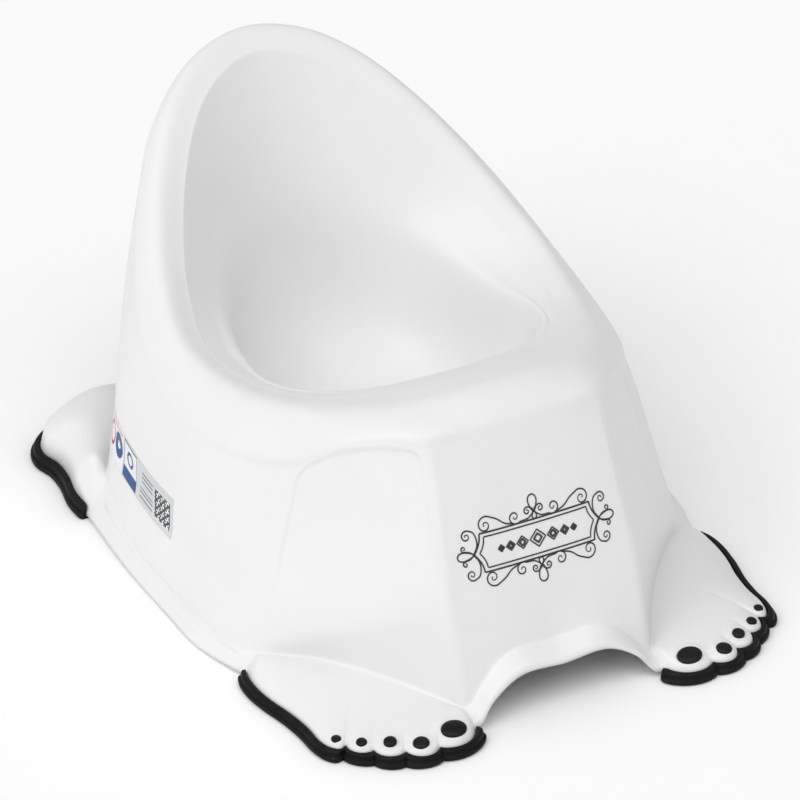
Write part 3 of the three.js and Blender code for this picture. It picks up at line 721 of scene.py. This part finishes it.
def sticker_colour(u, v):
    """Index into the film's materials. u runs in mm from the front end, v in mm from the lower edge."""
    clear, grey, blue, red, text, ink = range(6)
    if 2.5 < u < 18.5 and 3.5 < v < 19.5:
        i, j = math.floor((u - 2.5) / 0.97), math.floor((v - 3.5) / 0.97)
        return ink if (3 * i * i + 5 * j * j + 7 * i * j + i) % 5 < 3 else clear
    if 21 < u < 39 and any(abs(v - line) < 0.5 for line in (4, 6.6, 9.2, 14, 16.6, 19.2)):
        return text if u < 38 - (4 if v > 12 else 1) else grey
    if 42 < u < 61 and 1 < v < 23:
        if min(u - 42, 61 - u, v - 1, 23 - v) < 0.7:
            return ink
        if v < 7.5:
            return blue
        ring = math.hypot(u - 51.5, v - 15)
        return blue if 2.8 < ring < 4.6 else clear
    if math.hypot((u - 70) / 6.4, (v - 12.5) / 7.2) < 1:
        return clear if math.hypot(u - 70, v - 12.5) < 2.2 else blue
    if 64 < u < 92 and abs(v - 21.6) < 0.7:
        return red
    if 0.72 < math.hypot((u - 83) / 5.6, (v - 12) / 7) < 1:
        return red
    return grey if u < 62 else clear


def build_sticker():
    low_corner, high_corner = box_in_mm("side_sticker")
    count_u, count_v = 200, 50
    front, back = low_corner[1] + 3, high_corner[1] - 3
    u = np.linspace(0, 1, count_u + 1)
    v = np.linspace(0, 1, count_v + 1)
    heights = np.linspace(low_corner[2], high_corner[2], 60)
    columns = [i for i, s in enumerate(stations) if 6.5 < s < 10.5]
    wall = wall_at(columns, heights)
    centre = np.zeros((count_u + 1, count_v + 1, 3))
    for i, share in enumerate(u):
        y = front + (back - front) * share
        z = (FILM_LOW + FILM_RISE * share) + v * (FILM_HEIGHT - FILM_TAPER * share)
        x_all = np.array([np.interp(y, wall[:, k, 1], wall[:, k, 0]) for k in range(len(heights))])
        centre[i] = np.column_stack([-np.interp(z, heights, x_all), np.full(count_v + 1, y), z])
    du, dv = np.gradient(centre, axis=0), np.gradient(centre, axis=1)
    out = unit(np.cross(dv, du))
    out *= np.sign(-out[:, :, :1])
    layers = [centre + out * lift for lift in (0.05, 0.32)]
    points = np.vstack([layer.reshape(-1, 3) for layer in layers])
    rows = count_v + 1
    total = (count_u + 1) * rows
    faces = tube_faces(count_u + 1, rows, False, 0)
    top_start = len(faces)
    faces += tube_faces(count_u + 1, rows, False, total, flip=True)
    top_end = len(faces)
    border = [(i, 0) for i in range(count_u + 1)] + [(count_u, j) for j in range(1, rows)]
    border += [(i, count_v) for i in range(count_u - 1, -1, -1)] + [(0, j) for j in range(count_v - 1, 0, -1)]
    for (i, j), (k, m) in zip(border, border[1:] + border[:1]):
        a, b = i * rows + j, k * rows + m
        faces.append([b, a, a + total, b + total])
    length = back - front
    colours = [0] * len(faces)
    for index in range(top_start, top_end):
        i, j = divmod(index - top_start, count_v)
        colours[index] = sticker_colour((i + 0.5) / count_u * length, (j + 0.5) / count_v * PRINT_HEIGHT)
    films = [FILM_CLEAR, FILM, FILM_BLUE, FILM_RED, FILM_TEXT, INK]
    return add_mesh("side_film", points, faces, films, colours)


film = build_sticker()
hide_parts("side_sticker")


# printed frame on the front: double lines with pointed ends, and curls round it
def front_y(x, z):
    columns = [i for i, s in enumerate(stations) if s < INNER_RIDGE + 0.05]
    wall = wall_at(columns, np.array([z]))[:, 0]
    return np.interp(abs(x), wall[:, 0], wall[:, 1])


def drawn_frame(w, h, point):
    """A closed frame whose two ends draw out to a point."""
    t = np.linspace(-1, 1, 25)
    end = np.column_stack([w + point * (1 - abs(t)) ** 2, h * t])
    line = np.vstack([end, -end, end[:1]])
    return by_length(line, np.linspace(0, 1, 190))


def scroll(way, centre, turns, sense, last_radius=0.45):
    """A curved line through some points that winds up round a centre; sense is 1 for anticlockwise."""
    way = np.array(way, float)
    lead = spline(np.pad(way, ((0, 0), (0, 1))), np.linspace(0, len(way) - 1, 12 * len(way)), True)[:, :2]
    arm = way[-1] - centre
    t = np.linspace(0, 1, 60)[1:]
    radius = np.hypot(*arm) + (last_radius - np.hypot(*arm)) * t ** 0.8
    angle = math.atan2(arm[1], arm[0]) + sense * 2 * math.pi * turns * t
    curl = np.column_stack([np.cos(angle), np.sin(angle)]) * radius[:, None]
    return np.vstack([lead, np.array(centre) + curl])


def petal(base, heading, length, width):
    t = np.linspace(0, 1, 40)
    along = length * (1 - np.cos(2 * math.pi * t)) / 2
    across = width * 0.65 * np.sin(2 * math.pi * t) * (0.6 + 0.8 * along / length)
    direction = math.radians(heading)
    return np.array(base) + np.column_stack([
        along * math.cos(direction) - across * math.sin(direction),
        along * math.sin(direction) + across * math.cos(direction)])


def ornament_lines():
    """Lines as (points, width), about the middle of the frame."""
    w, h = 31.0, 9.3
    lines = [(drawn_frame(w, h, 4.2), 0.8), (drawn_frame(w - 2, h - 1.9, 3.2), 0.65)]
    quarter = [
        scroll([(11.5, h + 0.4), (16.5, 11.2), (20.8, 14.4), (25.4, 16.6)], (27.2, 12.6), 1.45, -1),
        scroll([(0, 12.9), (3.6, 10.4), (8.2, 9.9)], (10.8, 12.7), 1.4, 1),
        scroll([(0, 12.9), (0.8, 14.6), (2.6, 15.6)], (3.6, 13.8), 1.2, -1),
        scroll([(w + 4.4, 0.2), (33.2, 3.6), (32.9, 7.4), (34.2, 10.6), (36.8, 11.9)], (37.9, 9.2), 1.35, -1),
        scroll([(w + 4.4, 0.2), (37.6, 1.7), (39.8, 2.2)], (40.3, 3.7), 1.1, 1),
    ]
    for line in quarter:
        for mirror_x in (1, -1):
            for mirror_y in (1, -1):
                lines.append((line * np.array([mirror_x, mirror_y]), 0.68))
    for side in (1, -1):
        lines.append((petal((0, side * 12.9), side * 90, 8.2, 3.4), 0.68))
        lines.append((petal((0, side * 12.9), -side * 90, 3.4, 1.8), 0.68))
        lines.append((petal((side * (w + 4.4), 0), 90 - side * 90, 8.6, 3.0), 0.68))
    # a plain row of lozenges where a name would stand
    for x, size in ((0, 4.4), (-8.6, 3.2), (8.6, 3.2), (-15.2, 2.4), (15.2, 2.4), (-20.4, 1.7), (20.4, 1.7)):
        for share, width in ((1.0, 0.7), (0.52, 1.0)):
            a, b = size * share, size * share * 0.95
            lozenge = np.array([(x - a, 0), (x, b), (x + a, 0), (x, -b), (x - a, 0)])
            lines.append((by_length(lozenge, np.linspace(0, 1, 33)), width))
    return lines


def build_ornament():
    low_corner, high_corner = box_in_mm("front_print")
    middle = (low_corner[2] + high_corner[2]) / 2
    points, faces = [], []
    for line, width in ornament_lines():
        closed = np.linalg.norm(line[0] - line[-1]) < 1e-6
        tangent = np.gradient(line, axis=0)
        if closed:
            tangent[0] = tangent[-1] = line[1] - line[-2]
        tangent = unit(tangent)
        out = np.column_stack([-tangent[:, 1], tangent[:, 0]])
        taper = np.ones(len(line)) if closed else np.clip(np.linspace(3, 0, len(line)), 0.7, 1)
        start = len(points)
        for (x, z), (a, b), share in zip(line, out, taper):
            for side in (-1, 1):
                px, pz = x + a * side * width * share / 2, z + middle + b * side * width * share / 2
                y = front_y(px, pz)
                points.append((px, y - 0.05, pz))
                points.append((px, y - 0.22, pz))
        count = len(line)
        for i in range(count - 1):
            a, b = start + 4 * i, start + 4 * (i + 1)
            faces += [[a + 1, b + 1, b + 3, a + 3], [a, a + 2, b + 2, b]]
            faces += [[a, b, b + 1, a + 1], [a + 2, a + 3, b + 3, b + 2]]
        for i in (0, count - 1):
            a = start + 4 * i
            faces.append([a, a + 1, a + 3, a + 2] if i == 0 else [a, a + 2, a + 3, a + 1])
    piece = add_mesh("front_ornament", points, faces, [INK])
    work = bmesh.new()
    work.from_mesh(piece.data)
    bmesh.ops.recalc_face_normals(work, faces=work.faces)
    work.to_mesh(piece.data)
    work.free()
    return piece


ornament = build_ornament()
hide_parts("front_print")


# ---- floor and light ------------------------------------------------------------------------------
FLOOR_HALF = 6    # metres
floor_mesh = bpy.data.meshes.new("floor")
floor_corners = [(x * FLOOR_HALF, y * FLOOR_HALF, 0) for x, y in ((-1, -1), (1, -1), (1, 1), (-1, 1))]
floor_mesh.from_pydata(floor_corners, [], [(0, 1, 2, 3)])
floor = bpy.data.objects.new("floor", floor_mesh)
scene.collection.objects.link(floor)
FLOOR_WHITE = moulded_plastic("floor_white", (0.985, 0.985, 0.985), (0.99, 0.99, 0.99), 0.8, 0.9, 0.0)
floor_mesh.materials.append(FLOOR_WHITE)

world = bpy.data.worlds.new("studio")
scene.world = world
world.use_nodes = True
world.node_tree.nodes["Background"].inputs["Color"].default_value = (1, 1, 1, 1)
# the surroundings are brighter to the left of the potty than to its right
across = world.node_tree.nodes.new("ShaderNodeSeparateXYZ")
place = world.node_tree.nodes.new("ShaderNodeTexCoord")
world.node_tree.links.new(place.outputs["Generated"], across.inputs[0])
glow = mapped(world.node_tree.nodes, world.node_tree.links, across.outputs["X"], 0.68, 0.40, -1, 1)
world.node_tree.links.new(glow, world.node_tree.nodes["Background"].inputs["Strength"])


def soft_sun(name, direction, strength):
    """A broad, even light shining along the given direction."""
    data = bpy.data.lights.new(name, "SUN")
    data.angle = math.radians(50)
    data.energy = strength
    light = bpy.data.objects.new(name, data)
    light.rotation_euler = Vector(direction).to_track_quat("-Z", "Y").to_euler()
    scene.collection.objects.link(light)


soft_sun("key", (0.72, 0.16, -0.67), 1.0)
soft_sun("top", (-0.08, 0.42, -0.9), 0.78)
